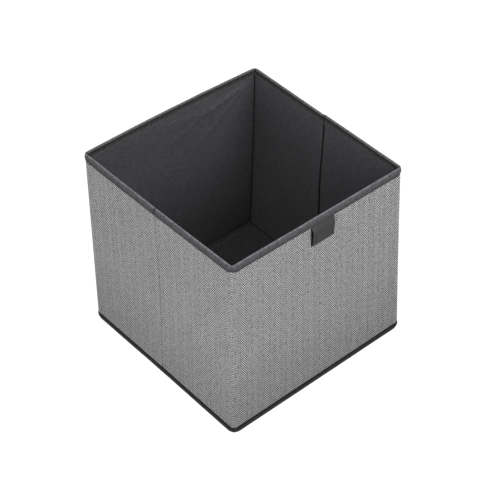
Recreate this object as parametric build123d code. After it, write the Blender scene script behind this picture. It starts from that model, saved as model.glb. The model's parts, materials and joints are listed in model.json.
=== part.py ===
from build123d import *
import os

# A cube-shaped fabric storage bin that folds flat, in millimetres. +Z is up and the front wall,
# with the pull tab, is at -Y. The origin is on the floor at the middle of the bin.
# The side walls fold inwards at a centre crease and draw the front wall back to the back wall.

# Outside size: width and depth over the fabric, height to the top of the rim binding
width = 300.0
depth = 300.0
height = 300.0
corner_radius = 4.0

# Layers of a wall, from outside to inside
fabric_thick = 0.5
card_thick = 2.0
lining_thick = 0.5

# Binding tape round the rim and round the foot
binding_thick = 0.4
rim_binding_height = 11.5
foot_binding_height = 9.0

# Fold lines
corner_return = 5.2  # how far a corner runs along the side wall before the side wall bends
fold_gap = 0.15  # each panel stops this far short of a fold line
binding_setback = 0.9  # rim binding stops this far short of a corner's fold line
card_setback = 2.0  # card stops this far short of a fold line, to leave the cloth free to bend
card_cover = 0.6  # card stops this far short of its pocket's top and foot

# Floor of the bin: the bottom cloth, then the loose board, whose hem is sewn to the back wall
bottom_fabric_thick = 0.8
board_clearance = 0.3
base_card_thick = 2.5
base_cover_thick = 0.5
board_side_gap = 1.5
board_front_gap = 2.0
hem_width = 7.0
hem_thick = 1.0
hinge_clearance = 0.4
wall_clearance = 0.6  # the walls start this far above the board

# Pull tab under the rim binding, near the middle of the front wall
tab_width = 40.0
tab_length = 31.0
tab_offset = 5.0  # to the right of the wall's middle
tab_thick = 1.2
tab_corner_radius = 4.0
tab_clearance = 0.3

# Worked out from the sizes above
wall_thick = fabric_thick + card_thick + lining_thick
half_width = width / 2
half_depth = depth / 2
inner_x = half_width - wall_thick
inner_y = half_depth - wall_thick
fold_y = inner_y - corner_return
board_bottom = bottom_fabric_thick + board_clearance
board_top = board_bottom + base_card_thick + 2 * base_cover_thick
wall_foot = board_top + wall_clearance
wall_top = height - binding_thick


def block(low, high):
    """A box between two opposite corners, given in any order."""
    spans = [sorted(pair) for pair in zip(low, high)]
    sizes = [top - bottom for bottom, top in spans]
    return Pos(*[bottom for bottom, _ in spans]) * Box(*sizes, align=Align.MIN)


def slab(plan, bottom, top):
    return Pos(0, 0, bottom) * extrude(plan, top - bottom)


def end_plan(inset, fold_clearance=fold_gap):
    """The back end of the bin in plan, filled, with its faces moved in by inset."""
    back = half_depth - inset
    front = fold_y + fold_clearance
    plan = Pos(0, (back + front) / 2) * Rectangle(2 * (half_width - inset), back - front)
    radius = corner_radius - inset
    if radius <= 0:
        return plan
    return fillet(plan.vertices().sort_by(Axis.Y)[-2:], radius)


def end_wall_layers():
    """The back wall's pieces with its two corners. The front wall's are the same, turned round."""
    fabric = end_plan(0) - end_plan(fabric_thick)
    lining = end_plan(wall_thick - lining_thick) - end_plan(wall_thick)
    core = end_plan(fabric_thick) - end_plan(wall_thick - lining_thick)
    card_half = half_width - corner_radius
    card_plan = core & (Pos(0, half_depth) * Rectangle(2 * card_half, 2 * wall_thick))
    layers = {
        "fabric": slab(fabric, wall_foot, wall_top),
        "lining": slab(lining, wall_foot, wall_top),
        "card": slab(card_plan, wall_foot + card_cover, wall_top - card_cover),
    }
    corners = slab(core - card_plan, wall_foot, wall_top).solids().sort_by(Axis.X)
    layers["left_corner"], layers["right_corner"] = corners[0], corners[-1]
    rim_plan = end_plan(-binding_thick, binding_setback)
    rim_plan -= end_plan(wall_thick + binding_thick, 0)
    rim = slab(rim_plan, height - rim_binding_height, height)
    wall = slab(end_plan(0, 0) - end_plan(wall_thick, 0), 0, wall_top)
    layers["rim_binding"] = rim - wall
    foot_plan = end_plan(-binding_thick, binding_setback) - end_plan(0, 0)
    layers["foot_binding"] = slab(foot_plan, 0, foot_binding_height)
    return layers


def side_panel_layers(x_side, y_side):
    """The pieces of one half of a side wall, between its corner and the centre crease."""
    ends = (y_side * fold_gap, y_side * (fold_y - fold_gap))
    card_ends = (y_side * card_setback, y_side * (fold_y - card_setback))
    binding_ends = (y_side * fold_gap, y_side * (fold_y - binding_setback))

    def layer(outer, inner, run, bottom, top):
        outer_face, inner_face = x_side * (half_width - outer), x_side * (half_width - inner)
        return block((outer_face, run[0], bottom), (inner_face, run[1], top))

    card_outer, card_inner = fabric_thick, fabric_thick + card_thick
    rim = layer(-binding_thick, wall_thick + binding_thick, binding_ends,
                height - rim_binding_height, height)
    rim -= layer(0, wall_thick, binding_ends, 0, wall_top)
    return {
        "fabric": layer(0, fabric_thick, ends, wall_foot, wall_top),
        "card": layer(card_outer, card_inner, card_ends, wall_foot + card_cover, wall_top - card_cover),
        "lining": layer(card_inner, wall_thick, ends, wall_foot, wall_top),
        "rim_binding": rim,
        "foot_binding": layer(-binding_thick, 0, binding_ends, 0, foot_binding_height),
    }


def bottom_fabric():
    """The cloth under the bin, sewn to the foot of all four walls."""
    plan = fillet(Rectangle(width, depth).vertices(), corner_radius)
    return slab(plan, 0, bottom_fabric_thick)


def base_board_pieces():
    """The loose floor: a card in a sewn cover, hinged on its cover's flat hem."""
    hem_back = inner_y - binding_thick - hinge_clearance
    board_back = hem_back - hem_width
    board_front = -(inner_y - board_front_gap)
    board_half = inner_x - board_side_gap
    skin = base_cover_thick
    outside = block((-board_half, board_front, board_bottom), (board_half, board_back, board_top))
    card = block((-board_half + skin, board_front + skin, board_bottom + skin),
                 (board_half - skin, board_back - skin, board_top - skin))
    hem = block((-board_half, board_back, board_top - hem_thick), (board_half, hem_back, board_top))
    return {"base_card": card, "base_cover": outside - card, "base_hem": hem}


def pull_tab():
    """A folded strip that hangs from the rim binding, round along its top edge to turn there."""
    radius = tab_thick / 2
    axis_y = -(half_depth + binding_thick + tab_clearance + radius)
    axis_z = height - rim_binding_height - tab_clearance - radius
    face = Pos(0, axis_z - tab_length / 2) * Rectangle(tab_width, tab_length)
    face = fillet(face.vertices().sort_by(Axis.Y)[:2], tab_corner_radius)
    leaf = extrude(Pos(0, axis_y, 0) * Rot(90, 0, 0) * face, radius, both=True)
    roll = Pos(0, axis_y, axis_z) * Rot(0, 90, 0) * Cylinder(radius, tab_width)
    return Pos(tab_offset, 0, 0) * (leaf + roll)


def all_pieces():
    pieces = {}
    other_side = {"left_corner": "right_corner", "right_corner": "left_corner"}
    for layer, shape in end_wall_layers().items():
        pieces[f"back_{layer}"] = shape
        pieces[f"front_{other_side.get(layer, layer)}"] = Rot(0, 0, 180) * shape
    for side, x_side in (("left", -1), ("right", 1)):
        for end, y_side in (("rear", 1), ("front", -1)):
            for layer, shape in side_panel_layers(x_side, y_side).items():
                pieces[f"{side}_{end}_{layer}"] = shape
    pieces["bottom_fabric"] = bottom_fabric()
    pieces.update(base_board_pieces())
    pieces["pull_tab"] = pull_tab()
    return pieces


os.makedirs("parts", exist_ok=True)
for name, shape in all_pieces().items():
    export_step(shape, f"parts/{name}.step")
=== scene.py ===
import bpy, json, math
import numpy as np
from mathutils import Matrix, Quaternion, Vector


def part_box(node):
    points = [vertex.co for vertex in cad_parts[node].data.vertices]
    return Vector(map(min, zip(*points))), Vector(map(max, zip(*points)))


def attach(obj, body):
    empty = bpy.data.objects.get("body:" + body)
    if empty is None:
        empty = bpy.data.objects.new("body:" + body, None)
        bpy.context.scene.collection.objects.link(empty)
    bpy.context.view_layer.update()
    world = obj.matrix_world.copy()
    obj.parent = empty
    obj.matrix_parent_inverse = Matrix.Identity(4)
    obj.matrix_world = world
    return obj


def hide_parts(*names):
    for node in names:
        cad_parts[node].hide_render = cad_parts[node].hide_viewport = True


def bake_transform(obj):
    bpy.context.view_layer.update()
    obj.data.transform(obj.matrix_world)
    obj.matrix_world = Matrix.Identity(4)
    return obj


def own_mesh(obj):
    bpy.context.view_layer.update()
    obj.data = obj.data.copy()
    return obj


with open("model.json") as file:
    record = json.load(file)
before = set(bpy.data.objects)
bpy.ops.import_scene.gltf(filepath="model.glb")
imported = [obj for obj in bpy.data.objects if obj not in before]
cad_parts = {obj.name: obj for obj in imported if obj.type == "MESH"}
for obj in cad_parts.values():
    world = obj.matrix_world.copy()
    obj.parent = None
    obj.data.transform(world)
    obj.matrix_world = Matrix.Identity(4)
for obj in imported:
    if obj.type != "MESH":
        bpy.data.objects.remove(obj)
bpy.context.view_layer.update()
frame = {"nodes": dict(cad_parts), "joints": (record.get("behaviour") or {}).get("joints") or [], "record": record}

mm = 0.001

# sizes and fold lines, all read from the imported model
jointAt = {j["name"]: j["pos_m"] for j in frame["joints"]}
outerX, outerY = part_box("back_fabric")[1].x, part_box("back_fabric")[1].y
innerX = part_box("right_rear_lining")[0].x
innerY = outerY - (outerX - innerX)
foldY = jointAt["fold"][1]
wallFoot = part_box("back_fabric")[0].z
rimLow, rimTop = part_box("back_rim_binding")[0].z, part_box("back_rim_binding")[1].z
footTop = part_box("back_foot_binding")[1].z
boardLow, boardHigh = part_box("base_cover")
hemLow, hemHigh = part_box("base_hem")
tabLow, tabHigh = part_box("pull_tab")
tabTuck = 5 * mm  # how much of the tab is under the binding
tabFold = rimLow + tabTuck - tabLow.z  # from the tab's sewn end to its fold

sides = {"right": 1, "left": -1}
ends = {"rear": (1, "back_wall", "back"), "front": (-1, "front_wall", "front")}


def smooth(t):
    t = np.clip(t, 0, 1)
    return t * t * (3 - 2 * t)


def bump(t):
    return np.exp(-t * t)


# how the whole bin leans and bows; the walls' cloth, card and tape pieces, the bottom cloth, the tab and the wall
# stitches go through this
# corner shifts are (x, y, z) in mm, at the rim and at the foot
lean = {
    "backBow": 3.0 * mm,
    "footPower": 1.2,
    "creaseIn": {"right": 6.0 * mm, "left": 2.5 * mm},
    "creaseDrop": 1.6 * mm,
    "sideFrom": 130 * mm,  # the side walls' own moves start this far from the middle
    "endFrom": 90 * mm,
    "endReach": 55 * mm,
    "rim": {"frontLeft": (1.4, -1.2, 0.0), "frontRight": (-0.8, 0.0, 0.0), "backLeft": (0.3, 1.9, 0.0),
            "backRight": (1.1, -2.0, -1.5)},
    "foot": {"frontLeft": (-2.3, -4.2, 0.0), "frontRight": (13.0, 0.5, 0.0), "backLeft": (1.1, 2.6, 0.0),
             "backRight": (0.0, 9.0, 0.0)},
}


def cornerShift(x, y, level):
    rightward = np.clip((1 + x / outerX) / 2, 0, 1)
    total = np.zeros(x.shape + (3,))
    for place, sy in (("front", -1), ("back", 1)):
        panel = np.clip(sy * y / outerY, 0, 1)  # each half of a side wall stays straight
        nearEnd = smooth((sy * y - lean["endFrom"]) / lean["endReach"])
        left, right = np.array(level[place + "Left"]) * mm, np.array(level[place + "Right"]) * mm
        mixed = left + (right - left) * rightward[..., None]
        total += mixed * np.stack([panel, nearEnd, panel], -1)
    return total


def leaned(p):
    p = np.array(p, float)
    x, y, z = p[..., 0].copy(), p[..., 1].copy(), p[..., 2].copy()
    high = np.clip(z / rimTop, 0, 1)
    low = (1 - high) ** lean["footPower"]
    p += cornerShift(x, y, lean["rim"]) * high[..., None] + cornerShift(x, y, lean["foot"]) * low[..., None]
    nearBack = smooth((y - foldY) / (innerY - foldY - 1 * mm))
    p[..., 1] += lean["backBow"] * high * nearBack * np.clip(1 - (x / outerX) ** 2, 0, 1)
    # the side walls give inwards a little at their creases, half way up, and one half has sunk
    give = np.where(x > 0, -lean["creaseIn"]["right"], lean["creaseIn"]["left"])
    toCrease = np.clip(1 - np.abs(y) / foldY, 0, 1)
    halfWayUp = smooth((rimTop - z) / (0.45 * rimTop)) * smooth(z / (0.4 * rimTop))
    onSide = np.clip((np.abs(x) - lean["sideFrom"]) / (10 * mm), 0, 1)
    p[..., 0] += give * toCrease * halfWayUp * onSide
    p[..., 2] -= lean["creaseDrop"] * high ** 2 * toCrease * (y > 0) * (x > lean["sideFrom"])
    return p


# slow unevenness of a cloth face, about -1 to 1, from a few crossing waves
def ripple(u, v, seed, waves=9, longest=0.16, shortest=0.035):
    draw = np.random.default_rng(seed)
    total = np.zeros(np.broadcast(u, v).shape)
    for _ in range(waves):
        length = draw.uniform(shortest, longest)
        turn, phase = draw.uniform(0, math.pi), draw.uniform(0, 2 * math.pi)
        along = u * math.cos(turn) + v * math.sin(turn)
        total = total + np.sin(2 * math.pi * along / length + phase) * length / longest
    return total / math.sqrt(waves)


# plan paths: u runs 0 to 1 on the straight and 1 to 2 round half a corner
corner = {"radius": 6.8 * mm, "footExtra": 5.0 * mm, "footFade": 5 * mm, "sharpInside": 3.2 * mm}


def cornerRadius(z, out):
    radius = corner["radius"] + corner["footExtra"] * np.exp(-z / corner["footFade"])
    inside = np.clip(1 + out / corner["sharpInside"], 0.04, 1)
    return radius * inside + np.maximum(out, 0)


# the right wall's rear half, from the crease to the middle of the corner
def sidePath(u, z, out):
    r = cornerRadius(z, out)
    straight = np.clip(u, 0, 1) * (outerY + out - r)
    turn = np.clip(u - 1, 0, 1) * math.pi / 4
    px = outerX + out - r * (1 - np.cos(turn))
    py = straight + r * np.sin(turn)
    return px, py, straight + r * turn, np.cos(turn), np.sin(turn)


# back wall, from the middle of one corner to the middle of the other
def endPath(u, z, out):
    r = cornerRadius(z, out)
    way = np.sign(u)
    straight = np.clip(u, -1, 1) * (outerX + out - r)
    turn = np.clip(np.abs(u) - 1, 0, 1) * math.pi / 4
    px = straight + way * r * np.sin(turn)
    py = outerY + out - r * (1 - np.cos(turn))
    return px, py, straight + way * r * turn, way * np.sin(turn), np.cos(turn)


# stations from low to high, with more of them beside each value in fine
def straightStations(low, high, count, fine=(), fineStep=0.02):
    values = list(np.linspace(low, high, count))
    for centre in fine:
        values += [centre + k * fineStep for k in range(-3, 4)]
    return np.unique(np.clip(np.round(values, 5), low, high))


def meshFrom(name, points, faces, uvOfLoop, material, sharpAngle=40):
    mesh = bpy.data.meshes.new(name)
    mesh.from_pydata([tuple(p) for p in points], [], faces)
    layer = mesh.uv_layers.new(name="cloth")
    layer.uv.foreach_set("vector", np.asarray(uvOfLoop, np.float32).ravel())
    mesh.polygons.foreach_set("use_smooth", [True] * len(mesh.polygons))
    mesh.materials.append(material)
    mesh.update()
    mesh.set_sharp_from_angle(angle=math.radians(sharpAngle))
    piece = bpy.data.objects.new(name, mesh)
    bpy.context.scene.collection.objects.link(piece)
    return piece


# a closed thin shell. face is a grid of points on the shown side, and uv its size in metres
def sheetPiece(name, face, uv, thick, material, flip=False, inward=None):
    nu, nv, _ = face.shape
    du, dv = np.gradient(face, axis=0), np.gradient(face, axis=1)
    normal = np.cross(du, dv)
    normal /= np.maximum(np.linalg.norm(normal, axis=-1, keepdims=True), 1e-12)
    if flip:
        normal = -normal
    back = face - normal * thick if inward is None else face + inward * thick
    points = np.concatenate([face.reshape(-1, 3), back.reshape(-1, 3)])
    flatUv = np.concatenate([uv.reshape(-1, 2)] * 2)
    index = np.arange(nu * nv).reshape(nu, nv)
    a, b, c, d = index[:-1, :-1], index[1:, :-1], index[1:, 1:], index[:-1, 1:]
    front = np.stack([a, b, c, d], -1).reshape(-1, 4)
    rear = front[:, ::-1] + nu * nv
    ring = np.concatenate([index[:, 0], index[-1, 1:], index[-2::-1, -1], index[0, -2:0:-1]])
    following = np.roll(ring, -1)
    edge = np.stack([following, ring, ring + nu * nv, following + nu * nv], -1)
    faces = np.concatenate([front, rear, edge])
    if flip:
        faces = faces[:, ::-1]
    return meshFrom(name, points, faces.tolist(), flatUv[faces.ravel()], material)


# a closed bar. sections is a row of loops of points, each loop closed, with caps at both ends
def sweptPiece(name, sections, uv, material, flip=False, sharpAngle=50):
    n, m, _ = sections.shape
    points = sections.reshape(-1, 3)
    faces, loops = [], []
    for i in range(n - 1):
        for k in range(m):
            k2 = (k + 1) % m
            quad = [i * m + k, i * m + k2, (i + 1) * m + k2, (i + 1) * m + k]
            far = uv[i, k, 1] + (uv[i, 1, 1] - uv[i, 0, 1]) if k2 == 0 else uv[i, k2, 1]
            corners = [uv[i, k], (uv[i, k2, 0], far), (uv[i + 1, k2, 0], far), uv[i + 1, k]]
            faces.append(quad[::-1] if flip else quad)
            loops += corners[::-1] if flip else corners
    for i, ring in ((0, list(range(m))[::-1]), (n - 1, list(range(m)))):
        ring = ring[::-1] if flip else ring
        faces.append([i * m + k for k in ring])
        loops += [uv[i, k] for k in ring]
    return meshFrom(name, points, faces, loops, material, sharpAngle)


def mirrored(p, sx, sy):
    return p * np.array([sx, sy, 1.0])


# the bin's skin in six panels: two end walls, and two halves of each side wall
def allPanels():
    panels = []
    for endName, (sy, endBody, wall) in ends.items():
        panels.append({"name": wall, "node": wall, "tape": wall, "path": endPath, "sx": sy, "sy": sy,
                       "bodies": [endBody], "foldAt": None, "isEnd": True, "flip": True})
        for side, sx in sides.items():
            node = f"{side}_{endName}"
            panels.append({"name": side + endName.title(), "node": node, "tape": side, "path": sidePath,
                           "sx": sx, "sy": sy, "bodies": [endBody, node + "_panel"], "foldAt": sy * foldY,
                           "isEnd": False, "flip": sx * sy < 0})
    return panels


# puts a piece on its body; a piece across a corner's fold line only has its place baked into its mesh
def finishPiece(piece, bodies, replaced=(), foldAt=None):
    if foldAt is None:
        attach(piece, bodies[0])
    else:
        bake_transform(piece)
    if replaced:
        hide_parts(*replaced)
    return piece


def finishPanel(piece, slotName, panel, *layers):
    replaced = [f"{panel['node']}_{layer}" for layer in layers]
    return finishPiece(piece, panel["bodies"], replaced, panel["foldAt"])


# shader groups and materials
def newGroup(name, inputs, outputs):
    group = bpy.data.node_groups.new(name, "ShaderNodeTree")
    for label, value in inputs.items():
        socket = group.interface.new_socket(name=label, in_out="INPUT", socket_type="NodeSocketFloat")
        socket.default_value = value
    for label in outputs:
        group.interface.new_socket(name=label, in_out="OUTPUT", socket_type="NodeSocketFloat")
    return group, group.nodes.new("NodeGroupInput").outputs, group.nodes.new("NodeGroupOutput").inputs


# links an output to a socket, or sets a plain number or colour on it
def link(tree, source, target):
    if isinstance(source, (int, float, tuple)):
        target.default_value = source
    else:
        tree.links.new(source, target)


def calc(tree, kind, a, b=None, c=None, clamp=False):
    node = tree.nodes.new("ShaderNodeMath")
    node.operation, node.use_clamp = kind, clamp
    for socket, value in zip(node.inputs, (a, b, c)):
        if value is not None:
            link(tree, value, socket)
    return node.outputs[0]


# a times b, plus c
def scaled(tree, a, b, c=0.0):
    return calc(tree, "MULTIPLY_ADD", a, b, c)


def clothUv(tree):
    uvNode = tree.nodes.new("ShaderNodeUVMap")
    uvNode.uv_map = "cloth"
    split = tree.nodes.new("ShaderNodeSeparateXYZ")
    link(tree, uvNode.outputs[0], split.inputs[0])
    return uvNode.outputs[0], split.outputs[0], split.outputs[1]


def noiseOf(tree, vector, scale, detail=3.0, rough=0.55, stretch=None):
    if stretch:
        mapping = tree.nodes.new("ShaderNodeMapping")
        mapping.inputs["Scale"].default_value = stretch
        link(tree, vector, mapping.inputs["Vector"])
        vector = mapping.outputs[0]
    node = tree.nodes.new("ShaderNodeTexNoise")
    node.inputs["Detail"].default_value = detail
    node.inputs["Roughness"].default_value = rough
    link(tree, scale, node.inputs["Scale"])
    link(tree, vector, node.inputs["Vector"])
    return node.outputs[0]


def remap(tree, value, fromLow, fromHigh, toLow, toHigh):
    node = tree.nodes.new("ShaderNodeMapRange")
    labels = ("Value", "From Min", "From Max", "To Min", "To Max")
    for label, given in zip(labels, (value, fromLow, fromHigh, toLow, toHigh)):
        link(tree, given, node.inputs[label])
    return node.outputs["Result"]


def waveOf(tree, distance, length):
    return calc(tree, "SINE", calc(tree, "DIVIDE", scaled(tree, distance, 2 * math.pi), length))


# twill that turns back at each column. Light is the pale yarn's mask
twill = {"Column": 9.8 * mm, "Rise": 1.65, "Pitch": 4.15 * mm, "Yarn": 0.9 * mm, "Wander": 0.45,
         "Contrast": 5.06, "Speckle": 3.5, "Furrow": 0.55, "Pale": -0.38}
twillNoise = {"wander": 170.0, "speck": 450.0, "uneven": 210.0, "furrowWide": 1.3 * mm, "yarnStep": 0.4}


def makeZigzagWeave():
    group, put, out = newGroup("zigzagWeave", twill, ["Light", "Height", "Speck"])
    vector, u, v = clothUv(group)
    shifted = calc(group, "ADD", u, 2.0)  # keeps the distance positive

    # the zigzag climbs in small steps, one for each yarn
    yarnIndex = calc(group, "FLOOR", calc(group, "DIVIDE", shifted, put["Yarn"]))
    stepped = scaled(group, calc(group, "ADD", yarnIndex, 0.5), put["Yarn"])
    smoothPart = scaled(group, shifted, 1 - twillNoise["yarnStep"])
    across = scaled(group, stepped, twillNoise["yarnStep"], smoothPart)
    climb = scaled(group, calc(group, "PINGPONG", across, put["Column"]), put["Rise"], v)
    column = calc(group, "FLOOR", calc(group, "DIVIDE", shifted, put["Column"]))
    offset = scaled(group, calc(group, "MODULO", column, 2.0), 0.5)
    phase = calc(group, "ADD", calc(group, "DIVIDE", climb, put["Pitch"]), offset)
    wander = calc(group, "SUBTRACT", noiseOf(group, vector, twillNoise["wander"], 3.0, 0.65), 0.5)
    wave = waveOf(group, scaled(group, wander, put["Wander"], phase), 1.0)

    # pale yarns, uneven in strength, specked, with a dark line where the twill turns back
    speck = noiseOf(group, vector, twillNoise["speck"], 3.0, 0.7)
    strength = scaled(group, wave, noiseOf(group, vector, twillNoise["uneven"], 2.0))
    fromTurn = calc(group, "PINGPONG", shifted, scaled(group, put["Column"], 0.5))
    nearTurn = remap(group, fromTurn, 0.0, twillNoise["furrowWide"], 1.0, 0.0)
    base = scaled(group, offset, 0.5, put["Pale"])
    base = calc(group, "SUBTRACT", base, scaled(group, nearTurn, put["Furrow"]))
    base = scaled(group, calc(group, "SUBTRACT", speck, 0.5), put["Speckle"], base)
    light = calc(group, "MULTIPLY_ADD", strength, put["Contrast"], base, clamp=True)

    yarnRound = calc(group, "PINGPONG", shifted, scaled(group, put["Yarn"], 0.5))
    yarnRound = calc(group, "DIVIDE", yarnRound, put["Yarn"])
    height = scaled(group, yarnRound, 0.5, scaled(group, wave, 0.35))
    link(group, light, out["Light"])
    link(group, height, out["Height"])
    link(group, speck, out["Speck"])
    return group


# short matted fibres: a fine tone and a height
feltFibre = {"Fibre": 430.0, "Dimple": 260.0, "Contrast": 2.6}


def makeFeltFibre():
    group, put, out = newGroup("feltFibre", feltFibre, ["Tone", "Height"])
    vector, _, _ = clothUv(group)
    fine = noiseOf(group, vector, put["Fibre"], 4.0, 0.65)
    strands = noiseOf(group, vector, put["Fibre"], 3.0, 0.6, stretch=(0.25, 1.0, 1.0))
    dimple = noiseOf(group, vector, put["Dimple"], 1.0, 0.4)
    mixed = scaled(group, calc(group, "ADD", fine, strands), 0.5)
    link(group, scaled(group, calc(group, "SUBTRACT", mixed, 0.5), put["Contrast"], 1.0), out["Tone"])
    link(group, scaled(group, dimple, 0.8, mixed), out["Height"])
    return group


# fine ribs across a woven tape
tapeRib = {"Rib": 0.9 * mm, "Contrast": 0.35}


def makeTapeRib():
    group, put, out = newGroup("tapeRib", tapeRib, ["Tone", "Height"])
    vector, u, v = clothUv(group)
    ribs = waveOf(group, u, put["Rib"])
    picks = waveOf(group, v, scaled(group, put["Rib"], 0.8))
    height = scaled(group, ribs, 0.5, scaled(group, picks, 0.3))
    fuzz = noiseOf(group, vector, 1100.0, 3.0, 0.6)
    plain = scaled(group, height, 0.06, 1.0)
    link(group, scaled(group, calc(group, "SUBTRACT", fuzz, 0.5), put["Contrast"], plain), out["Tone"])
    link(group, scaled(group, fuzz, 0.6, height), out["Height"])
    return group


# slow blotches of tone left by dye, dust and handling. Tone is about 1
def makeHandling():
    group, put, out = newGroup("handling", {"Size": 26.0, "Amount": 0.12}, ["Tone"])
    vector, _, _ = clothUv(group)
    blotch = noiseOf(group, vector, put["Size"], 3.0, 0.5)
    link(group, scaled(group, calc(group, "SUBTRACT", blotch, 0.5), put["Amount"], 1.0), out["Tone"])
    return group


groups = {"weave": makeZigzagWeave(), "felt": makeFeltFibre(), "rib": makeTapeRib(),
          "handling": makeHandling()}


def placeGroup(tree, name, **values):
    node = tree.nodes.new("ShaderNodeGroup")
    node.node_tree = groups[name]
    for label, value in values.items():
        node.inputs[label].default_value = value
    return node.outputs


def handled(tree, size, amount):
    return placeGroup(tree, "handling", Size=size, Amount=amount)["Tone"]


def newMaterial(name, roughness, sheen=0.0, sheenRough=0.5, sheenTint=(1, 1, 1, 1)):
    material = bpy.data.materials.new(name)
    material.use_nodes = True
    tree = material.node_tree
    shader = next(n for n in tree.nodes if n.type == "BSDF_PRINCIPLED")
    shader.inputs["Roughness"].default_value = roughness
    shader.inputs["Specular IOR Level"].default_value = 0.25
    shader.inputs["Sheen Weight"].default_value = sheen
    shader.inputs["Sheen Roughness"].default_value = sheenRough
    shader.inputs["Sheen Tint"].default_value = sheenTint
    return material, tree, shader


def mixColour(tree, factor, a, b, blend="MIX"):
    node = tree.nodes.new("ShaderNodeMix")
    node.data_type, node.blend_type = "RGBA", blend
    for place, value in ((0, factor), (6, a), (7, b)):  # the colour sockets come after the others
        link(tree, value, node.inputs[place])
    return node.outputs[2]


# colour times a tone value
def tinted(tree, colour, tone):
    grey = tree.nodes.new("ShaderNodeCombineColor")
    for socket in grey.inputs[:3]:
        link(tree, tone, socket)
    return mixColour(tree, 1.0, colour, grey.outputs[0], "MULTIPLY")


# colour times tone, roughness remapped from a mask, and a bump from (height, strength, distance)
def dress(tree, shader, colour, tone, roughness, bump=None):
    link(tree, tinted(tree, colour, tone), shader.inputs["Base Color"])
    link(tree, remap(tree, *roughness), shader.inputs["Roughness"])
    if bump:
        node = tree.nodes.new("ShaderNodeBump")
        for label, value in zip(("Height", "Strength", "Distance"), bump):
            link(tree, value, node.inputs[label])
        link(tree, node.outputs[0], shader.inputs["Normal"])


herringbone = {"light": (0.84, 0.84, 0.85, 1), "dark": (0.008, 0.008, 0.009, 1), "bump": 0.6,
               "footTone": 0.80, "footFade": 130 * mm}  # painted shade: the cloth is a little darker towards the floor
# the lining's seam width and tone give painted shade beside its corner seams and creases
lining = {"colour": (0.072, 0.072, 0.079, 1), "bump": 0.35, "sheen": 0.1,
          "seamWide": 2.2 * mm, "seamTone": 0.06}
cover = {"colour": (0.039, 0.039, 0.043, 1), "bump": 0.35, "sheen": 0.1}
# the tab's inside tone is painted shade on the leaf behind the fold
tabCloth = {"colour": (0.053, 0.053, 0.056, 1), "bump": 0.35, "sheen": 0.1, "insideTone": 0.1}
# tapes: (mm from the outer edge over the fold, albedo). The greys hold the tape's own tone and painted light as
# well
# near rims: a bright painted highlight along the crest, painted shade along the lower edge and in a band just
# inside the top
nearRim = {"bump": 0.4, "sheen": 0.1,
           "tones": [(0, 0.030), (1.6, 0.036), (2.6, 0.062), (5, 0.076), (9, 0.090), (11.6, 0.11),
                     (12.8, 0.21), (14.9, 0.21), (15.8, 0.10), (16.5, 0.03), (19.5, 0.03),
                     (20.5, 0.045), (24, 0.05), (25, 0.066)]}
# far rims: the same painted shade, and a dimmer painted highlight along the crest than the near rims
farRim = {"bump": 0.4, "sheen": 0.1,
          "tones": [(0, 0.030), (1.6, 0.036), (2.6, 0.062), (5, 0.076), (9, 0.085), (11.8, 0.10),
                    (12.8, 0.125), (14.3, 0.120), (15.3, 0.085), (16.2, 0.020), (18.5, 0.020),
                    (19.5, 0.042), (23.2, 0.052), (24, 0.095), (25.6, 0.095)]}
# foot tape: a painted shadow along its top edge, under the cloth
footTape = {"bump": 0.4, "sheen": 0.08,
            "tones": [(0, 0.006), (1.2, 0.008), (2.8, 0.019), (5.2, 0.036), (8, 0.026), (10, 0.020),
                      (24, 0.02)]}
threads = {"dark": (0.035, 0.035, 0.038, 1), "seam": (0.09, 0.09, 0.093, 1),
           "rim": (0.055, 0.055, 0.058, 1), "pale": (0.16, 0.16, 0.165, 1)}
board = {"colour": (0.33, 0.30, 0.26, 1)}


def makeHerringbone():
    material, tree, shader = newMaterial("herringboneCloth", 0.86, 0.15, 0.6)
    weave = placeGroup(tree, "weave")
    _, _, v = clothUv(tree)
    # painted shade, darker towards the floor
    paintedFootShade = remap(tree, v, footTop, herringbone["footFade"], herringbone["footTone"], 1.0)
    tone = scaled(tree, handled(tree, 30.0, 0.16), paintedFootShade)
    colour = mixColour(tree, weave["Light"], herringbone["dark"], herringbone["light"])
    dress(tree, shader, colour, tone, (weave["Speck"], 0.2, 0.8, 0.95, 0.75),
          (weave["Height"], herringbone["bump"], 0.25 * mm))
    return material


# painted shade: dark where u is beside one of the seams, given as distances along the cloth
def seamShade(tree, seams, wide, darkest):
    _, u, _ = clothUv(tree)
    shade = None
    for place in seams:
        away = calc(tree, "ABSOLUTE", calc(tree, "SUBTRACT", u, place))
        one = remap(tree, away, 0.4 * wide, wide, darkest, 1.0)
        shade = one if shade is None else scaled(tree, shade, one)
    return shade


def makeFelt(name, look, amount=0.2, seams=()):
    material, tree, shader = newMaterial(name, 0.9, look["sheen"], 0.5)
    fibre = placeGroup(tree, "felt")
    tone = scaled(tree, fibre["Tone"], handled(tree, 18.0, amount))
    # painted shade beside the seams
    if seams:
        tone = scaled(tree, tone, seamShade(tree, seams, look["seamWide"], look["seamTone"]))
    dress(tree, shader, look["colour"], tone, (fibre["Tone"], 0.8, 1.2, 0.95, 0.78),
          (fibre["Height"], look["bump"], 0.2 * mm))
    return material


# a ribbed cloth. handling is its blotches' size and amount
def makeRibbed(name, look, handling, shadeOf, colourOf):
    material, tree, shader = newMaterial(name, 0.85, look["sheen"], 0.5)
    rib = placeGroup(tree, "rib")
    _, _, v = clothUv(tree)
    tone = scaled(tree, rib["Tone"], handled(tree, *handling))
    dress(tree, shader, colourOf(tree, v), shadeOf(tree, v, tone), (rib["Tone"], 0.8, 1.2, 0.92, 0.75),
          (rib["Height"], look["bump"], 0.15 * mm))
    return material
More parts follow.
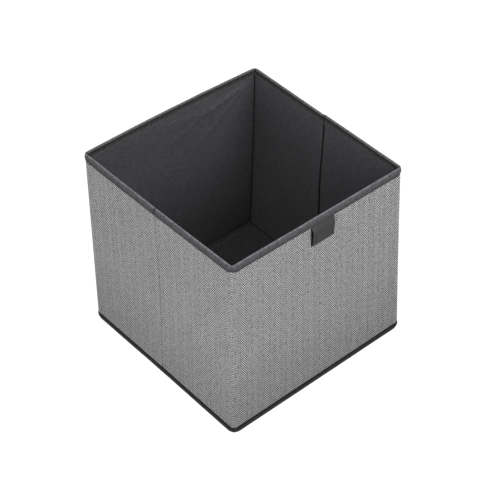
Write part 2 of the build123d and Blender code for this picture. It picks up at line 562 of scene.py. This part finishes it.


# painted shade: dark beside the creases all the way over the wall's edge, and beside the corner seams only inside
# it
def makeTape(name, look, creases=(), insideSeams=()):
    def shadeOf(tree, v, tone):
        if creases:
            tone = scaled(tree, tone, seamShade(tree, creases, 1.5 * mm, 0.1))
        if insideSeams:
            outside = remap(tree, v, 10.5 * mm, 12.5 * mm, 1.0, 0.0)
            shade = seamShade(tree, insideSeams, 1.8 * mm, 0.1)
            tone = scaled(tree, tone, calc(tree, "MAXIMUM", shade, outside))
        return tone

    # the ramp's greys carry the painted crest highlight and the painted shade of the tone lists
    def colourOf(tree, v):
        farthest = look["tones"][-1][0] * mm
        ramp = tree.nodes.new("ShaderNodeValToRGB")
        while len(ramp.color_ramp.elements) < len(look["tones"]):
            ramp.color_ramp.elements.new(0.5)
        for stop, (distance, albedo) in zip(ramp.color_ramp.elements, look["tones"]):
            stop.position = distance * mm / farthest
            stop.color = (albedo, albedo, albedo * 1.06, 1)
        link(tree, calc(tree, "DIVIDE", v, farthest), ramp.inputs[0])
        return ramp.outputs[0]

    return makeRibbed(name, look, (210.0, 1.7), shadeOf, colourOf)


# painted shade: the strip is dark past the fold, where it lies behind itself
def makeTabCloth():
    def shadeOf(tree, v, tone):
        behind = remap(tree, v, tabFold - 0.5 * mm, tabFold + 0.5 * mm, 1.0, tabCloth["insideTone"])
        return scaled(tree, tone, behind)

    return makeRibbed("tabCloth", tabCloth, (60.0, 0.6), shadeOf, lambda tree, v: tabCloth["colour"])


def makeThread(kind):
    material, tree, shader = newMaterial(kind + "Thread", 0.7, 0.2, 0.4)
    _, u, v = clothUv(tree)
    twist = waveOf(tree, calc(tree, "ADD", u, v), 0.5 * mm)
    dress(tree, shader, threads[kind], scaled(tree, twist, 0.15, 1.0), (twist, -1.0, 1.0, 0.8, 0.6))
    return material


def makeBoard():
    material, tree, shader = newMaterial("greyboard", 0.95)
    place = tree.nodes.new("ShaderNodeTexCoord")
    fibre = noiseOf(tree, place.outputs["Object"], 700.0, 4.0, 0.6)
    fleck = noiseOf(tree, place.outputs["Object"], 160.0, 2.0, 0.5)
    tone = scaled(tree, fibre, 0.35, scaled(tree, fleck, 0.3, 0.68))
    dress(tree, shader, board["colour"], tone, (fleck, 0.3, 0.7, 0.9, 1.0), (fibre, 0.2, 0.1 * mm))
    return material


materials = {
    "herringbone": makeHerringbone(),
    # painted shade beside the lining's corner seams, and on the side walls beside the crease as well
    "endLining": makeFelt("endLiningFelt", lining, 0.35, (-innerX, innerX)),
    "sideLining": makeFelt("sideLiningFelt", lining, 0.35, (0.0, innerY)),
    "cover": makeFelt("coverFelt", cover),
    "bottom": makeFelt("bottomFelt", lining),
    # the near rims (front, left) and far rims (back, right) are one tape with different painted highlights
    "frontRim": makeTape("frontRimTape", nearRim),
    "leftRim": makeTape("leftRimTape", nearRim, (0.0,)),
    "backRim": makeTape("backRimTape", farRim, (), (-innerX, innerX)),
    "rightRim": makeTape("rightRimTape", farRim, (0.0,), (innerY,)),
    "footTape": makeTape("footTape", footTape),
    "tab": makeTabCloth(),
    "board": makeBoard(),
}
for kind in threads:
    materials[kind + "Thread"] = makeThread(kind)
print("materials ready")

# outer cloth
outerCloth = {"thick": 0.5 * mm, "foot": 3.0 * mm, "head": 297.5 * mm, "puff": 0.35 * mm, "rows": 90,
              "columnsEnd": 96, "columnsHalf": 48, "seamDip": 0.4 * mm, "creaseDip": 0.7 * mm,
              "footPinch": 0.7 * mm, "rimPinch": 0.25 * mm}


# how far the herringbone cloth stands off the card
def outerOffset(u, z, along, seed, crease):
    c = outerCloth
    out = 0.25 * mm + c["puff"] * ripple(along, z, seed)
    out = out * smooth((z - footTop) / (25 * mm)) * smooth((rimLow - z) / (20 * mm))
    out = out - c["footPinch"] * bump((z - footTop) / (1.6 * mm))
    out = out - c["rimPinch"] * bump((z - rimLow) / (1.5 * mm))
    out = out * (1 - 0.85 * smooth((np.abs(u) - 1) / 0.5))
    out = out - c["seamDip"] * smooth((np.abs(u) - 1.72) / 0.28)
    if crease:
        out = out - c["creaseDip"] * bump(along / (1.1 * mm))
    return out


def clothRows(c):
    return np.concatenate([np.linspace(c["foot"], footTop + 3 * mm, 9),
                           np.linspace(footTop + 4.5 * mm, rimLow - 4.5 * mm, c["rows"]),
                           np.linspace(rimLow - 3 * mm, c["head"], 8)])


def makeOuterCloth():
    c = outerCloth
    z = clothRows(c)
    turn = np.linspace(1.12, 2, 8)
    halfU = np.concatenate([straightStations(0, 1, c["columnsHalf"], (0.0, 0.97), 0.008), turn])
    endU = np.concatenate([-turn[::-1], np.linspace(-1, 1, c["columnsEnd"]), turn])
    pieces = {}
    for panel in allPanels():
        sx, sy, path, isEnd = panel["sx"], panel["sy"], panel["path"], panel["isEnd"]
        u, zz = np.meshgrid(endU if isEnd else halfU, z, indexing="ij")
        flatAlong = path(u, zz, 0 * u)[2]
        seed = 31 + sy if isEnd else 40 + 3 * sx + sy
        px, py, along, _, _ = path(u, zz, outerOffset(u, zz, flatAlong, seed, not isEnd))
        face = leaned(mirrored(np.stack([px, py, zz], -1), sx, sy))
        if not isEnd:
            along = along * -sy + 0.02  # the weave runs on over the crease
        piece = sheetPiece(panel["name"] + "Cloth", face, np.stack([along, zz], -1), c["thick"],
                           materials["herringbone"], flip=panel["flip"])
        corners = ["left_corner", "right_corner"] if isEnd else []
        pieces[panel["name"]] = finishPanel(piece, "herringbone_cloth", panel, "fabric", *corners)
    print("outer cloth made")
    return pieces


outerPieces = makeOuterCloth()

# lining
liningCloth = {"thick": 0.5 * mm, "foot": 5.2 * mm, "head": 297.5 * mm, "puff": 0.3 * mm, "rows": 96,
               "columnsEnd": 120, "columnsHalf": 60, "seamDepth": 0.25 * mm, "seamRoll": 2.2 * mm,
               "creaseDip": 2.4 * mm, "footGap": 0.4 * mm}

# folds that fan out from a wall's top corner: turn below level in degrees, height, width and reach in mm
bigFan = [(7, 1.2, 2.6, 250), (14, 1.3, 2.4, 225), (22, 1.5, 3.0, 210), (31, 1.1, 3.0, 180),
          (41, 0.8, 4.0, 150), (56, 0.5, 6.0, 110)]
cornerFan = [(9, 1.0, 2.4, 120), (19, 1.0, 2.6, 100), (33, 0.9, 3.0, 85), (50, 0.6, 4.0, 60)]
smallFan = [(10, 0.8, 3.0, 110), (26, 1.0, 4.5, 80), (45, 0.6, 4.5, 55)]


# height of folds that start at a top corner and fade as they go. Distances in metres
def fanRelief(away, down, folds):
    far = np.hypot(away, down)
    turn = np.degrees(np.arctan2(down, np.maximum(away, 1e-6)))
    relief = np.zeros(far.shape)
    for angle, tall, wide, reach in folds:
        across = far * np.radians(turn - angle - 6 * np.sin(far * 18 + angle))
        width = (wide * mm) * (0.55 + far / 0.12)
        fade = smooth(far / 0.018) * (1 - smooth((far - 0.4 * reach * mm) / (0.6 * reach * mm)))
        relief += tall * mm * fade * bump(across / width)
    return relief


# how far the lining stands in from the card, towards the middle of the bin
def liningOffset(z, along, seed):
    c = liningCloth
    out = 0.25 * mm + c["puff"] * ripple(along, z, seed)
    out = out * smooth((rimLow - z) / (12 * mm)) * smooth((z - wallFoot) / (15 * mm))
    return out - c["footGap"] * smooth((footTop + 3 * mm - z) / (6 * mm))


# turns the last few millimetres of the lining out into the corner's seam
def seamRoll(toCorner):
    c = liningCloth
    t = np.clip((c["seamRoll"] - toCorner) / (c["seamRoll"] + c["seamDepth"]), 0, 1)
    return c["seamDepth"] * t ** 2.4, t


# distance in from the wall's inner plane, positive towards the middle
def liningFace(along, zz, toCorner, seed, crease, folds):
    rolled, t = seamRoll(toCorner)
    relief = liningOffset(zz, along, seed)
    down = np.maximum(rimLow - zz, 0)
    for away, fan, share in folds:
        relief = relief + share * fanRelief(away, down, fan) * smooth((rimLow - 3 * mm - zz) / (9 * mm))
    inFrontOfCard = 0.05 * mm + np.logaddexp(0, (relief - 0.12 * mm) / (0.4 * mm)) * 0.4 * mm
    relief = np.where(zz > footTop + 3 * mm, inFrontOfCard, relief)
    if crease:
        relief = relief - liningCloth["creaseDip"] * bump(along / (1.5 * mm))
    return relief * smooth(1 - t) - rolled


def makeLining():
    c = liningCloth
    z = clothRows(c)
    roll = np.linspace(innerX - c["seamRoll"], innerX + c["seamDepth"], 11)[1:]
    straight = np.linspace(-innerX + c["seamRoll"], innerX - c["seamRoll"], c["columnsEnd"])
    endRun = np.concatenate([-roll[::-1], straight, roll])
    halfRun = np.concatenate([np.linspace(0, 3.5 * mm, 9),
                              np.linspace(5 * mm, foldY - 6 * mm, c["columnsHalf"]),
                              np.linspace(foldY - 5 * mm, innerY - c["seamRoll"], 6), roll])
    pieces = {}
    for panel in allPanels():
        sx, sy, isEnd = panel["sx"], panel["sy"], panel["isEnd"]
        run, zz = np.meshgrid(endRun if isEnd else halfRun, z, indexing="ij")
        if isEnd:
            folds = [(innerX - run * sy, bigFan if sy > 0 else smallFan, 1.0),
                     (innerX + run * sy, smallFan, 0.8)]
            relief = liningFace(run, zz, innerX - np.abs(run), 71 + sy, False, folds)
            flat, inward = np.stack([run, innerY - relief, zz], -1), (0.0, sy, 0.0)
        else:
            fan = cornerFan if (sx, sy) == (1, -1) else smallFan
            folds = [(innerY - run, fan, 0.8 * smooth((run - 0.02) / 0.04))]
            relief = liningFace(run, zz, innerY - run, 80 + 3 * sx + sy, True, folds)
            flat, inward = np.stack([innerX - relief, run, zz], -1), (sx, 0.0, 0.0)
        piece = sheetPiece(panel["name"] + "Lining", leaned(mirrored(flat, sx, sy)), np.stack([run, zz], -1),
                           c["thick"], materials["endLining" if isEnd else "sideLining"],
                           flip=not panel["flip"], inward=np.array(inward, float))
        pieces[panel["name"]] = finishPanel(piece, "lining_cloth", panel, "lining")
    print("lining made")
    return pieces


liningPieces = makeLining()

# cards inside the walls
cards = {"foot": footTop + 4 * mm, "cornerTrim": 5 * mm, "sunk": 0.1 * mm, "slim": 0.9}


def makeCards():
    for node in [n for n in frame["nodes"] if n.endswith("_card") and n != "base_card"]:
        low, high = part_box(node)
        long = 0 if high.x - low.x > high.y - low.y else 1
        trim = cards["cornerTrim"] if long == 0 else 0.0
        run = np.linspace(low[long] + trim, high[long] - trim, 40)
        z = np.linspace(cards["foot"], high.z, 30)
        a, zz = np.meshgrid(run, z, indexing="ij")
        away = 1 if (low[1 - long] + high[1 - long]) > 0 else -1
        outer = high[1 - long] if away > 0 else low[1 - long]
        across = np.full(a.shape, outer - away * cards["sunk"])
        flat = np.stack([a, across, zz] if long == 0 else [across, a, zz], -1)
        inward = np.zeros(3)
        inward[1 - long] = -away * cards["slim"]
        body = next(b for b, names in frame["record"]["behaviour"]["bodies"].items() if node in names)
        words = node.split("_")
        name = words[0] + "".join(w.title() for w in words[1:])
        piece = sheetPiece(name, leaned(flat), np.stack([a, zz], -1), high[1 - long] - low[1 - long],
                           materials["board"], flip=(away > 0) == (long == 0), inward=inward)
        finishPiece(piece, [body], [node])
    frame["nodes"]["base_card"].data.materials.clear()
    frame["nodes"]["base_card"].data.materials.append(materials["board"])
    print("cards made")


makeCards()

# binding tape: a profile of (out from the outer face, height) swept along the walls
rimBinding = {"thick": 0.5 * mm, "bulge": 0.55 * mm, "proud": 0.5 * mm, "low": rimLow, "top": rimTop,
              "round": 2.2 * mm, "cornerLift": 2.2 * mm}
footBinding = {"bulge": 1.3 * mm, "proud": 0.5 * mm, "top": footTop + 1.4 * mm, "under": 12 * mm}
tapeWobble = 0.12 * mm


# an upside-down U over the wall's edge, as (out, z) points round a closed loop
def rimProfile():
    r = rimBinding
    middle = -(outerX - innerX) / 2
    half = (outerX - innerX) / 2 + r["proud"]
    shoulder = r["top"] - r["round"]
    points = []
    for t in np.linspace(0, 1, 7):  # outer leg, from its lower edge up
        swell = r["bulge"] * math.sin(math.pi * t) ** 0.8
        z = r["low"] + t * (shoulder - r["low"])
        points.append((middle + half - 0.25 * mm * (1 - smooth(t * 4)) + swell, z))
    for k in range(1, 8):  # over the top
        a = math.pi * k / 8
        points.append((middle + half * math.cos(a), shoulder + r["round"] * math.sin(a) ** 0.8))
    for t in np.linspace(0, 1, 7):  # inner leg, down
        swell = 0.4 * r["bulge"] * math.sin(math.pi * t)
        points.append((middle - half - swell, shoulder - t * (shoulder - r["low"])))
    # and back along the side against the cloth
    leg = half - r["thick"]
    rows = [(-leg, r["low"]), (-leg, r["top"] - 2.4 * mm), (-0.4 * half, r["top"] - 0.9 * mm)]
    points += [(middle + x, z) for x, z in rows]
    points += [(middle - x, z) for x, z in rows[::-1]]
    return np.array(points)


# a soft band round the bottom edge that turns under the bin
def footProfile():
    f = footBinding
    points = []
    for k in range(9):  # down the outside
        a = math.pi * k / 8
        z = f["top"] - (f["top"] - 1.6 * mm) * k / 8
        points.append((f["proud"] - 0.5 * mm + f["bulge"] * math.sin(a) ** 0.7, z))
    points += [(f["proud"] - 0.3 * mm, 0.7 * mm), (-0.9 * mm, 0.15 * mm), (-2.5 * mm, 0.02 * mm)]
    points += [(-f["under"], 0.02 * mm), (-f["under"], 0.45 * mm), (-2.5 * mm, 0.5 * mm)]
    points += [(-1.2 * mm, 1.5 * mm), (-0.9 * mm, 4 * mm), (-0.8 * mm, f["top"])]
    return np.array(points)


def sweepAlong(path, stations, profile, sx, sy, seed):
    n, m = len(stations), len(profile)
    u = np.repeat(stations[:, None], m, 1)
    out = np.repeat(profile[None, :, 0], n, 0)
    z = np.repeat(profile[None, :, 1], n, 0)
    if profile[:, 1].min() > 0.5 * rimTop:  # the rim tape is drawn up where it turns a corner
        legShare = np.clip((rimTop - z) / (rimTop - rimLow), 0, 1)
        z = z + rimBinding["cornerLift"] * smooth((np.abs(u) - 0.95) / 0.5) * legShare * (out > -1 * mm)
    px, py, along, nx, ny = path(u, z, out)
    shift = tapeWobble * ripple(along + 0.4, 0 * z + seed * 0.01, seed, 7, 0.09, 0.02)
    edge = smooth((2 - np.abs(u)) / 0.6)
    px, py = px + nx * shift * edge, py + ny * shift * edge
    length = np.concatenate([[0], np.cumsum(np.hypot(*np.diff(profile, axis=0).T))])
    uv = np.stack([along, np.repeat(length[None], n, 0)], -1)
    return leaned(mirrored(np.stack([px, py, z], -1), sx, sy)), uv


def makeBinding(kind, profile, slotName, node):
    turn = np.linspace(1.12, 2, 8)
    halfU = np.concatenate([straightStations(0, 1, 40, (0.97,), 0.008), turn])
    endU = np.concatenate([-turn[::-1], np.linspace(-1, 1, 72), turn])
    pieces = {}
    for panel in allPanels():
        sx, sy, isEnd = panel["sx"], panel["sy"], panel["isEnd"]
        seed = 3 + sy if isEnd else 9 + sx + 2 * sy
        sections, uv = sweepAlong(panel["path"], endU if isEnd else halfU, profile, sx, sy, seed)
        tape = materials["footTape" if kind == "Foot" else panel["tape"] + "Rim"]
        piece = sweptPiece(panel["name"] + kind, sections, uv, tape, flip=panel["flip"])
        pieces[panel["name"]] = finishPanel(piece, slotName, panel, node)
    print(kind, "made")
    return pieces


makeBinding("Rim", rimProfile(), "rim_tape", "rim_binding")
footPieces = makeBinding("Foot", footProfile(), "foot_tape", "foot_binding")

# bottom cloth, base board and pull tab
bottomCloth = {"thick": 0.7 * mm, "low": 0.1 * mm, "inset": 6 * mm}


def makeBottomCloth():
    u, v = np.meshgrid(np.linspace(-1, 1, 61), np.linspace(-1, 1, 61), indexing="ij")
    x, y = u * (outerX - bottomCloth["inset"]), v * (outerY - bottomCloth["inset"])
    z = np.full(u.shape, bottomCloth["low"])
    face = leaned(np.stack([x, y, z], -1))
    piece = sheetPiece("bottomCloth", face, np.stack([x, y], -1), bottomCloth["thick"],
                       materials["bottom"], flip=True)
    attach(piece, "back_wall")
    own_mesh(piece)
    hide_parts("bottom_fabric")
    return piece


baseCover = {"edgeRound": 1.0 * mm, "puff": 0.35 * mm, "sideEase": 1.1 * mm, "columns": 80, "rows": 80}


# the board's cloth cover, with rounded edges, as one closed skin round the card
def makeBaseCover():
    c = baseCover
    low, high = boardLow, boardHigh + Vector((c["sideEase"], 0, 0))
    r = c["edgeRound"]
    midZ, halfZ = (low.z + high.z) / 2, (high.z - low.z) / 2
    run = np.linspace(-1, 1, c["columns"]) * (high.x - r)
    level = np.full(c["columns"], halfZ)
    turn = math.pi * np.arange(1, 6) / 6
    xs = np.concatenate([run, high.x - r + r * np.sin(turn), run[::-1], low.x + r - r * np.sin(turn)])
    zs = np.concatenate([level, halfZ * np.cos(turn), -level, -halfZ * np.cos(turn)])
    edge = r * (1 - np.cos(np.linspace(0.15, math.pi / 2, 5)))
    ys = np.concatenate([low.y + edge, np.linspace(low.y + 4 * mm, high.y - 4 * mm, c["rows"]),
                         high.y - edge[::-1]])
    sections, uvs = [], []
    for y in ys:
        nearEnd = min(y - low.y, high.y - y, r)
        flat = max(math.sqrt(1 - (1 - nearEnd / r) ** 2), 0.12)
        puffed = np.where(zs > 0.9 * halfZ, c["puff"] * np.maximum(ripple(xs, y + 0 * xs, 55), -0.5), 0)
        sections.append(np.stack([xs, np.full(len(xs), y), midZ + (zs + puffed) * flat], -1))
        uvs.append(np.stack([xs + zs, np.full(len(xs), y)], -1))
    piece = sweptPiece("baseCover", np.array(sections), np.array(uvs), materials["cover"], flip=True)
    return finishPiece(piece, ["base_board"], ["base_cover"])


baseHem = {"thick": 0.8 * mm, "turnUp": 4.5 * mm, "stitchIn": 4.5 * mm, "stitchDip": 0.45 * mm,
           "cutWide": 14 * mm}


# how far the back wall's foot stands behind its place in the plan
def wallShift(x):
    return leaned(np.stack([x, 0 * x + innerY, 0 * x + hemHigh.z], -1))[..., 1] - innerY


# from the hem's front edge to the wall
def hemWidth(x):
    return hemHigh.y - hemLow.y + 0.6 * mm + wallShift(x) * 0.92


# the hem's place and height at a share of its width
def hemSurface(x, share):
    wide = hemWidth(x)
    y = hemLow.y + share * wide
    toWall = (1 - share) * wide
    z = hemHigh.z + 0.15 * mm * np.sin(x * 90) - 0.9 * mm * bump((y - hemLow.y) / (0.8 * mm))
    z = z + baseHem["turnUp"] * smooth(1 - toWall / (6 * mm))
    z = z - baseHem["stitchDip"] * bump((toWall - baseHem["stitchIn"]) / (1 * mm))
    return y, z


# bakes the hem's place into its mesh
def bendHem(piece):
    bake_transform(piece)


# the hem that joins the cover to the back wall, cut to follow the wall's foot
def makeBaseHem():
    x = np.linspace(-innerX + 0.4 * mm, innerX - 0.4 * mm, 90)
    share = np.concatenate([np.linspace(-0.12, 0.75, 14), np.linspace(0.8, 1, 5)])
    xx, ss = np.meshgrid(x, share, indexing="ij")
    yy, z = hemSurface(xx, ss)
    face = np.stack([xx, yy, z], -1)
    piece = sheetPiece("baseHem", face, np.stack([xx, yy], -1), baseHem["thick"], materials["cover"])
    bendHem(piece)
    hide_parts("base_hem")
    return piece


pullTab = {"thick": 0.4 * mm, "stand": 4.2 * mm, "round": 3.0 * mm, "hem": 4.0 * mm, "foldRound": 0.9 * mm,
           "rowDip": 0.8 * mm, "wave": 0.25 * mm}


# a loop of tape: down the front from under the binding, round the fold, and back up behind
def makePullTab():
    t = pullTab
    halfWide, middle = (tabHigh.x - tabLow.x) / 2, (tabHigh.x + tabLow.x) / 2
    top = rimLow + tabTuck
    u = np.concatenate([np.linspace(-1, -0.9, 5), np.linspace(-0.86, 0.86, 40), np.linspace(0.9, 1, 5)])
    down = np.concatenate([np.linspace(0, tabTuck + 5 * mm, 24),
                           np.linspace(tabTuck + 6 * mm, tabFold - 1.2 * mm, 26)])
    bend = np.linspace(tabFold - t["foldRound"], tabFold + t["foldRound"], 7)
    v = np.concatenate([down, bend, 2 * tabFold - down[::-1]])
    uu, vv = np.meshgrid(u, v, indexing="ij")
    behind = vv > tabFold
    run = np.where(behind, 2 * tabFold - vv, vv)  # how far down either leaf
    hang = np.clip((run - tabTuck) / (tabFold - tabTuck), 0, 1)
    nearFold = tabFold - run
    arc = np.sqrt(np.maximum(t["round"] ** 2 - (t["round"] - nearFold) ** 2, 0))
    cut = np.where(nearFold < t["round"], t["round"] - arc, 0)
    x = middle + uu * (halfWide - np.where(uu > 0, cut, 0.3 * cut) - 0.8 * mm * hang * (uu > 0))
    stand = t["stand"] * smooth(hang * 5) * (1 - hang) ** 0.7 * (0.6 - 0.4 * uu)
    front = 0.75 * mm + 1.6 * mm * smooth((run - tabTuck + 1.5 * mm) / (4 * mm)) + stand
    edge = (1 - np.abs(uu)) * halfWide
    # sunk along the rows of sewing beside its edges and across its top
    front = front - t["rowDip"] * bump((edge - t["hem"]) / (0.8 * mm)) - 0.3 * mm * bump(edge / (0.7 * mm))
    front = front - t["rowDip"] * bump((run - tabTuck - 3.4 * mm) / (0.8 * mm))
    front = front + t["wave"] * ripple(x, run, 91, 7, 0.03, 0.01)
    back = 0.2 * mm + 0.5 * mm * smooth(hang * 4)
    closing = smooth(nearFold / t["foldRound"])  # both leaves meet at the fold
    meet = (front + back) / 2
    lift = np.where(behind, meet + (back - meet) * closing, meet + (front - meet) * closing)
    face = leaned(np.stack([x, -(outerY + lift), top - run], -1))
    piece = sheetPiece("pullTab", face, np.stack([x, vv], -1), t["thick"], materials["tab"], flip=True)
    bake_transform(piece)
    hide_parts("pull_tab")
    return piece


bottomPiece = makeBottomCloth()
makeBaseCover()
hemPiece = makeBaseHem()
tabPiece = makePullTab()
print("bottom cloth, base board and tab made")

# stitching
stitching = {"radius": 0.3 * mm, "seamRadius": 0.26 * mm, "hemRadius": 0.38 * mm, "length": 3.2 * mm,
             "pitch": 4.4 * mm, "seamLength": 3.6 * mm, "seamPitch": 6.5 * mm, "lift": 0.25 * mm,
             "proud": 0.62 * mm, "sides": 6, "rings": 5}


# short threads from each start to its end, each one bowed up by its lift vector
def stitchRow(name, starts, finishes, lifts, material, radius=stitching["radius"]):
    s = stitching
    points, faces, loops = [], [], []
    rings = s["rings"]
    for a, b, lift in zip(starts, finishes, lifts):
        base = len(points)
        way = (b - a) / np.linalg.norm(b - a)
        up = lift / np.linalg.norm(lift)
        side = np.cross(way, up)
        for i in range(rings):
            t = i / (rings - 1)
            thick = radius * (0.25 + 0.75 * math.sin(math.pi * (0.12 + 0.76 * t)))
            centre = a + (b - a) * t + lift * math.sin(math.pi * t)
            for k in range(s["sides"]):
                angle = 2 * math.pi * k / s["sides"]
                points.append(centre + thick * (math.cos(angle) * up + math.sin(angle) * side))
        for i in range(rings - 1):
            for k in range(s["sides"]):
                k2 = (k + 1) % s["sides"]
                corners = [(i, k), (i, k2), (i + 1, k2), (i + 1, k)]
                faces.append([base + row * s["sides"] + turn for row, turn in corners])
                loops += [(row * 0.8 * mm, turn * 0.3 * mm) for row, turn in corners]
        for i, order in ((0, -1), (rings - 1, 1)):
            ring = [base + i * s["sides"] + k for k in range(s["sides"])][::order]
            faces.append(ring)
            loops += [(0, 0)] * s["sides"]
    return meshFrom(name, points, faces, loops, material, 60)


# a place on a wall's cloth, and the way out from it
def placeOnWall(path, u, z, out, sx, sy):
    px, py, _, nx, ny = path(np.array([u]), np.array([z]), np.array([out]))
    place = leaned(mirrored(np.array([px[0], py[0], z]), sx, sy))
    return place, np.array([nx[0] * sx, ny[0] * sy, 0.0])


# starts, ends and lifts of stitches that follow a wall at one height
def rowAlong(path, uLow, z, sx, sy):
    s = stitching
    total = 1 - uLow
    scale = outerY if path is sidePath else outerX
    count = int(total * scale / s["pitch"])
    starts, finishes, lifts = [], [], []
    for k in range(count):
        first, last = k + 0.15, k + 0.15 + s["length"] / s["pitch"]
        start, _ = placeOnWall(path, uLow + total * first / count, z, s["proud"], sx, sy)
        finish, normal = placeOnWall(path, uLow + total * last / count, z, s["proud"], sx, sy)
        starts.append(start)
        finishes.append(finish)
        lifts.append(normal * s["lift"])
    return starts, finishes, lifts


# one row round the bin at a height, in a piece for each wall panel
def makeWallStitches(kind, z, material):
    for panel in allPanels():
        row = rowAlong(panel["path"], -1.0 if panel["isEnd"] else 0.01, z, panel["sx"], panel["sy"])
        finishPanel(stitchRow(panel["name"] + kind, *row, material), "rim_tape", panel)


# the dark thread that shows in the seam down each outer corner
def makeCornerStitches():
    s = stitching
    for endName, (sy, endBody, _) in ends.items():
        for side, sx in sides.items():
            starts, finishes, lifts = [], [], []
            for z in np.arange(footTop + 4 * mm, rimLow - 3 * mm, s["seamPitch"]):
                start, _ = placeOnWall(sidePath, 2.0, z, -0.25 * mm, sx, sy)
                finish, normal = placeOnWall(sidePath, 2.0, z + s["seamLength"], -0.25 * mm, sx, sy)
                starts.append(start)
                finishes.append(finish)
                lifts.append(normal * 0.2 * mm)
            piece = stitchRow(side + endName.title() + "SeamThread", starts, finishes, lifts,
                              materials["seamThread"], s["seamRadius"])
            finishPiece(piece, [endBody])


def makeHemStitches():
    starts, finishes = [], []
    for x in np.arange(hemLow.x + 4 * mm, hemHigh.x - 6 * mm, stitching["pitch"]):
        for stitchEnd, row in ((x, starts), (x + stitching["length"], finishes)):
            place = np.array(stitchEnd)
            y, z = hemSurface(place, 1 - baseHem["stitchIn"] / hemWidth(place))
            row.append(np.array([stitchEnd, float(y), float(z) + 0.1 * mm]))
    lifts = [np.array([0, 0, 0.3 * mm])] * len(starts)
    piece = stitchRow("hemThread", starts, finishes, lifts, materials["paleThread"], stitching["hemRadius"])
    bendHem(piece)
    return piece


makeWallStitches("RimThread", rimLow + 1.9 * mm, materials["rimThread"])
makeWallStitches("FootThread", footTop - 1.2 * mm, materials["darkThread"])
makeCornerStitches()
makeHemStitches()
print("stitches made")


# floor, light and camera
studio = {"world": 0.50, "floor": 0.10, "floorGlow": 1.0, "floorHalf": 14.0, "aim": (0, 0, 0.15)}
softboxes = {"front": {"place": (0.2, -1.15, 1.0), "size": 0.798, "power": 10.3},
             "top": {"place": (-1.2, -0.1, 2.4), "size": 0.84, "power": 14.5},
             "left": {"place": (-1.4, -0.4, 0.34), "size": 0.602, "power": 6.3}}
# angles in degrees, lens in millimetres, distances in metres
camera = {"azimuth": -40.37, "elevation": 44.17, "roll": -0.542, "distance": 2.607, "lens": 132.878,
          "aimRight": 0.00339, "aimHigh": 0.14796}


def makeFloor():
    half = studio["floorHalf"]
    corners = [(-half, -half), (half, -half), (half, half), (-half, half)]
    mesh = bpy.data.meshes.new("floorPaper")
    mesh.from_pydata([(x, y, -0.05 * mm) for x, y in corners], [], [(0, 1, 2, 3)])
    material, tree, shader = newMaterial("floorPaper", 0.9)
    place = tree.nodes.new("ShaderNodeTexCoord")
    grain = noiseOf(tree, place.outputs["Object"], 40.0, 3.0, 0.5)
    tone = scaled(tree, grain, 0.02, 0.99)
    link(tree, tinted(tree, (studio["floor"],) * 3 + (1,), tone), shader.inputs["Base Color"])
    shader.inputs["Emission Color"].default_value = (1, 1, 1, 1)
    # a light table, dim to everything but the eye
    seen = tree.nodes.new("ShaderNodeLightPath").outputs["Is Camera Ray"]
    link(tree, scaled(tree, seen, studio["floorGlow"]), shader.inputs["Emission Strength"])
    mesh.materials.append(material)
    floor = bpy.data.objects.new("floorPaper", mesh)
    bpy.context.scene.collection.objects.link(floor)


def makeLights():
    world = bpy.data.worlds.new("studioWorld")
    world.use_nodes = True
    world.node_tree.nodes["Background"].inputs["Color"].default_value = (1, 1, 1, 1)
    world.node_tree.nodes["Background"].inputs["Strength"].default_value = studio["world"]
    bpy.context.scene.world = world
    for name, box in softboxes.items():
        data = bpy.data.lights.new(name + "Softbox", "AREA")
        data.shape, data.size, data.energy = "DISK", box["size"], box["power"]
        lamp = bpy.data.objects.new(name + "Softbox", data)
        lamp.location = box["place"]
        lamp.visible_camera = False
        lamp.rotation_mode = "QUATERNION"
        lamp.rotation_quaternion = (Vector(studio["aim"]) - Vector(box["place"])).to_track_quat("-Z", "Y")
        bpy.context.scene.collection.objects.link(lamp)
    bpy.context.scene.view_settings.view_transform = "Standard"


def makeCamera():
    c = camera
    a, e = math.radians(c["azimuth"]), math.radians(c["elevation"])
    back = Vector((math.sin(a) * math.cos(e), -math.cos(a) * math.cos(e), math.sin(e)))
    aim = Vector((math.cos(a), math.sin(a), 0)) * c["aimRight"] + Vector((0, 0, c["aimHigh"]))
    data = bpy.data.cameras.new("camera")
    data.sensor_width = 36.0
    data.lens = c["lens"]
    data.clip_end = 50
    eye = bpy.data.objects.new("camera", data)
    eye.location = back * c["distance"]
    eye.rotation_mode = "QUATERNION"
    roll = Quaternion((0, 0, 1), math.radians(c["roll"]))
    eye.rotation_quaternion = (aim - eye.location).to_track_quat("-Z", "Y") @ roll
    bpy.context.scene.collection.objects.link(eye)
    bpy.context.scene.camera = eye


makeFloor()
makeLights()
makeCamera()
print("stage ready")
